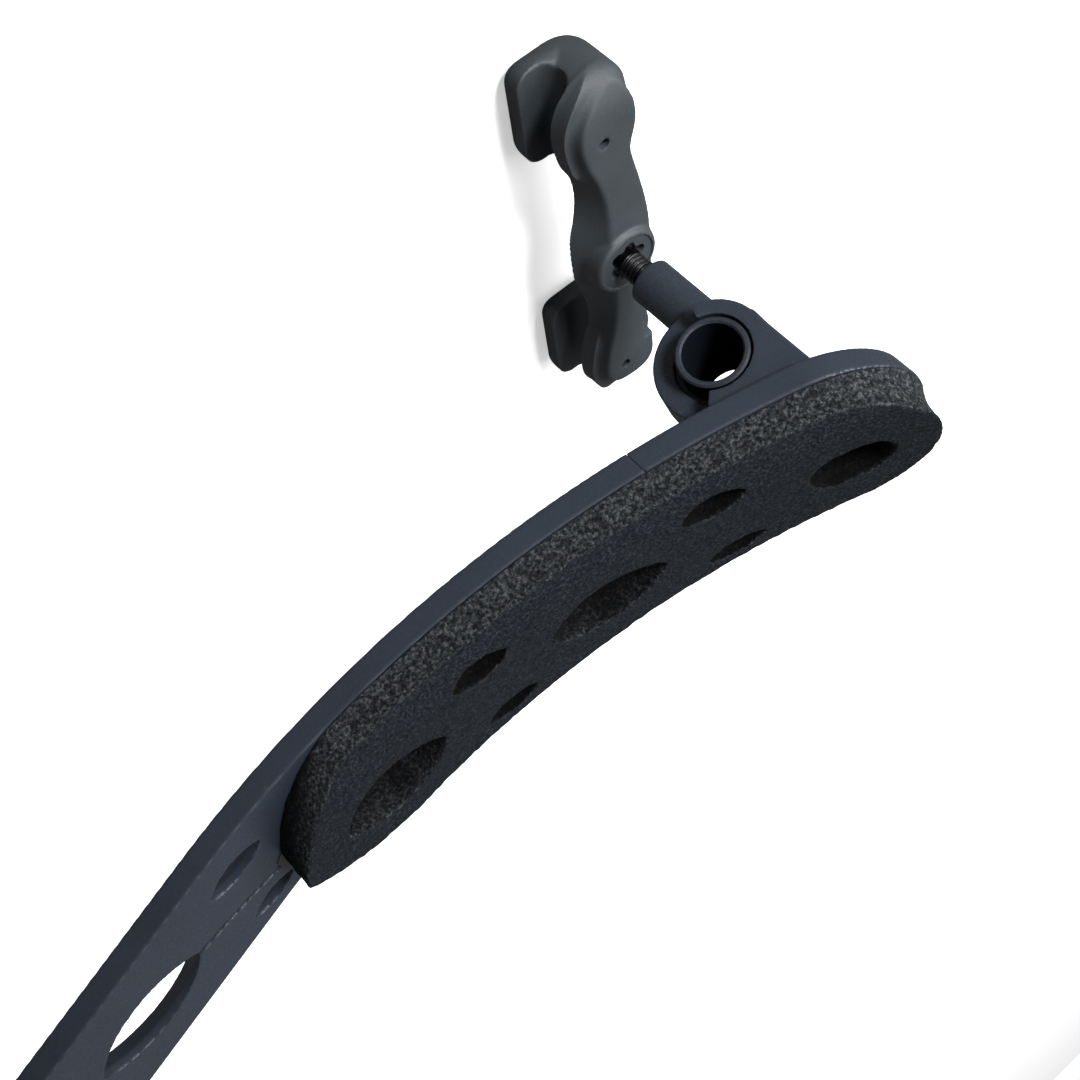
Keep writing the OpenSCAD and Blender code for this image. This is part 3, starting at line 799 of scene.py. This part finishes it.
def foam(name):
    """Open-cell foam: sparkling cut cells on the sides, finer and duller on the top, and painted shade in
    hollows.
    """
    material, tree, surface = new_material(name)
    top = ramp(tree, facing(tree, "Z"), [(0.55, 0.0), (0.8, 1.0)])
    speck = noise(tree, 0.5, 4, 0.75)
    fine = noise(tree, 0.40, 3, 0.7)
    side_colour = ramp(tree, speck, [(0.40, (0.003, 0.004, 0.005)), (0.52, (0.020, 0.022, 0.025)),
                                     (0.66, (0.075, 0.079, 0.083))])
    top_colour = ramp(tree, fine, [(0.38, (0.003, 0.004, 0.006)), (0.54, (0.009, 0.011, 0.014)),
                                   (0.70, (0.026, 0.030, 0.035))])
    colour = mix(tree, top, side_colour, top_colour)
    # Painted shade: the foam is darkened where it is hemmed in, as inside the pad's openings
    occlusion = tree.nodes.new("ShaderNodeAmbientOcclusion")
    occlusion.inputs["Distance"].default_value = 0.012
    shade = ramp(tree, occlusion.outputs["AO"], [(0.6, 0.06), (0.92, 1.0)])
    tree.links.new(mix(tree, 1.0, colour, shade, "MULTIPLY"), surface.inputs["Base Color"])
    surface.inputs["Roughness"].default_value = 0.9
    surface.inputs["Specular IOR Level"].default_value = 0.08
    pits = bump(tree, mix(tree, top, speck, fine), 0.4, 0.8)
    tree.links.new(pits, surface.inputs["Normal"])
    return material


def metal(name, colour, rough):
    """Turned metal with faint stains and uneven polish."""
    material, tree, surface = new_material(name)
    tone = ramp(tree, noise(tree, 1.5, 3), [(0.3, tuple(0.8 * c for c in colour)), (0.7, colour)])
    tree.links.new(tone, surface.inputs["Base Color"])
    surface.inputs["Metallic"].default_value = 1.0
    fine = noise(tree, 0.2, 3)
    polish = ramp(tree, fine, [(0.3, rough - 0.06), (0.7, rough + 0.1)])
    tree.links.new(polish, surface.inputs["Roughness"])
    tree.links.new(bump(tree, fine, 0.01), surface.inputs["Normal"])
    return material


BAR_PLASTIC = moulded_plastic("bar_plastic", (0.015, 0.020, 0.030), (0.026, 0.032, 0.042), 0.45, 0.35, 0.02)
HINGE_PLASTIC = moulded_plastic("hinge_plastic", (0.012, 0.017, 0.025), (0.028, 0.035, 0.046),
                                0.52, 0.42, 0.03)
SLEEVE_PLASTIC = moulded_plastic("sleeve_plastic", (0.011, 0.014, 0.021), (0.030, 0.036, 0.046),
                                 0.6, 0.42, 0.01)
shade_bore(SLEEVE_PLASTIC)
SOFT_RUBBER = soft_rubber("soft_rubber")
FOAM = foam("foam")
BLACK_STEEL = metal("black_steel", (0.035, 0.035, 0.038), 0.34)
BRASS = metal("brass", (0.72, 0.52, 0.22), 0.30)
PLAIN_STEEL = metal("plain_steel", (0.42, 0.42, 0.42), 0.35)
CORE_PLASTIC = moulded_plastic("core_plastic", (0.02, 0.02, 0.022), (0.05, 0.05, 0.052), 0.5, 0.3, 0.02)
WASHER = moulded_plastic("washer_fibre", (0.20, 0.18, 0.15), (0.3, 0.28, 0.25), 0.6, 0.3, 0.02)
ADHESIVE = moulded_plastic("adhesive_film", (0.01, 0.01, 0.011), (0.02, 0.02, 0.02), 0.4, 0.5, 0.01)


def paint(obj, material):
    obj.data.materials.clear()
    obj.data.materials.append(material)


def dress(obj, material, body, node):
    """Gives a piece its material and body, and hides the CAD node that it stands for."""
    paint(obj, material)
    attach(obj, body)
    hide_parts(node)


# ---------- build ----------

COARSE = 1.0
STRIP_STEP = 0.34 * COARSE
HINGE_STEP = 0.3 * COARSE
FORK_STEP = 0.32 * COARSE

bar = moulded("bar_body", bar_shape, (-SEAM_X - 1, BAR_LO[1], BAR_LO[2]), (SEAM_X + 1, BAR_HI[1], BAR_HI[2]),
              STRIP_STEP)
dress(bar, BAR_PLASTIC, "bar", "bar_centre")

for side, end_shape, foam_shape in (("shoulder", shoulder_end_shape, shoulder_pad_shape),
                                    ("chest", chest_end_shape, chest_pad_shape)):
    mirrored = side == "chest"
    end = moulded(side + "_end", end_shape, *node_box(side + "_end_plate"), HINGE_STEP)
    dress(end, BAR_PLASTIC, "bar", side + "_end_plate")
    pad = moulded(side + "_foam", foam_shape, *node_box(side + "_foam_pad"), STRIP_STEP, relief=foam_relief)
    dress(pad, FOAM, "bar", side + "_foam_pad")
    sleeve = sleeve_mesh(side + "_sleeve", mirrored)
    dress(sleeve, SLEEVE_PLASTIC, "bar", side + "_hinge_sleeve")
    stem = moulded(side + "_swivel", stem_shape, STEM_LO, STEM_HI, HINGE_STEP, mirrored)
    dress(stem, HINGE_PLASTIC, side + "_stem", side + "_swivel_stem")
    screw = screw_mesh(side + "_screw_thread", mirrored)
    dress(screw, BLACK_STEEL, side + "_screw", side + "_height_screw")
    fork = moulded(side + "_fork", fork_shape, COVER_LO, COVER_HI, FORK_STEP, mirrored)
    dress(fork, SOFT_RUBBER, side + "_foot", side + "_fork_cover")
    paint(NODES[side + "_friction_washer"], WASHER)
    paint(NODES[side + "_stem_insert"], BRASS)
    paint(NODES[side + "_screw_anchor"], PLAIN_STEEL)
    paint(NODES[side + "_fork_core"], CORE_PLASTIC)
    paint(NODES[side + "_pad_adhesive"], ADHESIVE)


# ---------- stage ----------

WHITE = (1, 1, 1, 1)
AMBIENT = 0.27
FLOOR_GAP = 0.0005
FLOOR_HALF = 3
HUB = Vector((HUB_X, 0, HUB_Z)) * MM


def aimed_light(light, place, target):
    obj = linked(light.name, light)
    obj.location = place
    obj.rotation_mode = "QUATERNION"
    obj.rotation_quaternion = (target - place).to_track_quat("-Z", "Y")


def floor():
    """White to the camera, dark as a reflector, with the part's shadow on it."""
    z = cad_lo[2] - FLOOR_GAP
    corners = [(-FLOOR_HALF, -FLOOR_HALF, z), (FLOOR_HALF, -FLOOR_HALF, z),
               (FLOOR_HALF, FLOOR_HALF, z), (-FLOOR_HALF, FLOOR_HALF, z)]
    mesh = bpy.data.meshes.new("floor")
    mesh.from_pydata(corners, [], [(0, 1, 2, 3)])
    obj = linked("floor", mesh)
    material, tree, surface = new_material("floor")
    tone = ramp(tree, noise(tree, 60, 2), [(0.3, 0.86), (0.7, 0.90)])
    seen = tree.nodes.new("ShaderNodeLightPath").outputs["Is Camera Ray"]
    tree.links.new(mix(tree, seen, (0.12, 0.12, 0.12), tone), surface.inputs["Base Color"])
    tree.links.new(maths(tree, "MULTIPLY", seen, 0.45), surface.inputs["Emission Strength"])
    surface.inputs["Roughness"].default_value = 0.9
    surface.inputs["Emission Color"].default_value = WHITE
    mesh.materials.append(material)


def studio_world():
    """White to the camera, dimmer as a light on the part."""
    world = bpy.data.worlds.new("studio")
    world.use_nodes = True
    tree = world.node_tree
    seen = tree.nodes.new("ShaderNodeLightPath").outputs["Is Camera Ray"]
    strength = maths(tree, "ADD", maths(tree, "MULTIPLY", seen, 1.0 - AMBIENT), AMBIENT)
    background = tree.nodes["Background"]
    tree.links.new(strength, background.inputs["Strength"])
    background.inputs["Color"].default_value = WHITE
    bpy.context.scene.world = world


floor()
studio_world()
bpy.context.scene.view_settings.view_transform = "Standard"

key = bpy.data.lights.new("key", "AREA")
key.size = 2.4
key.energy = 100
aimed_light(key, HUB + Vector((1.44, 0.48, 1.76)), HUB)

# A soft-edged pool of light on the hinge
glow = bpy.data.lights.new("hinge_glow", "SPOT")
glow.shadow_soft_size = 0.12
glow.spot_size = math.radians(22)
glow.spot_blend = 1.0
glow.energy = 60
aimed_light(glow, HUB + Vector((0.3, 0.55, 0.4)), HUB + Vector((0.012, 0, 0)))

# Camera: on the neck side, above the pad side, rolled so that the bar climbs to the right
camera_data = bpy.data.cameras.new("camera")
camera_data.sensor_width = 36
camera_data.lens = 56.667
camera_data.clip_start = 0.01
camera = linked("camera", camera_data)
place = Vector((66.9, 197.5, 121.1)) * MM
right = Vector((0.7044, -0.3076, 0.6395)).normalized()
nearly_up = Vector((0.7095, 0.3120, -0.6316))
back = right.cross(nearly_up).normalized()
up = back.cross(right)
camera.matrix_world = Matrix.Translation(place) @ Matrix((right, up, back)).transposed().to_4x4()
bpy.context.scene.camera = camera
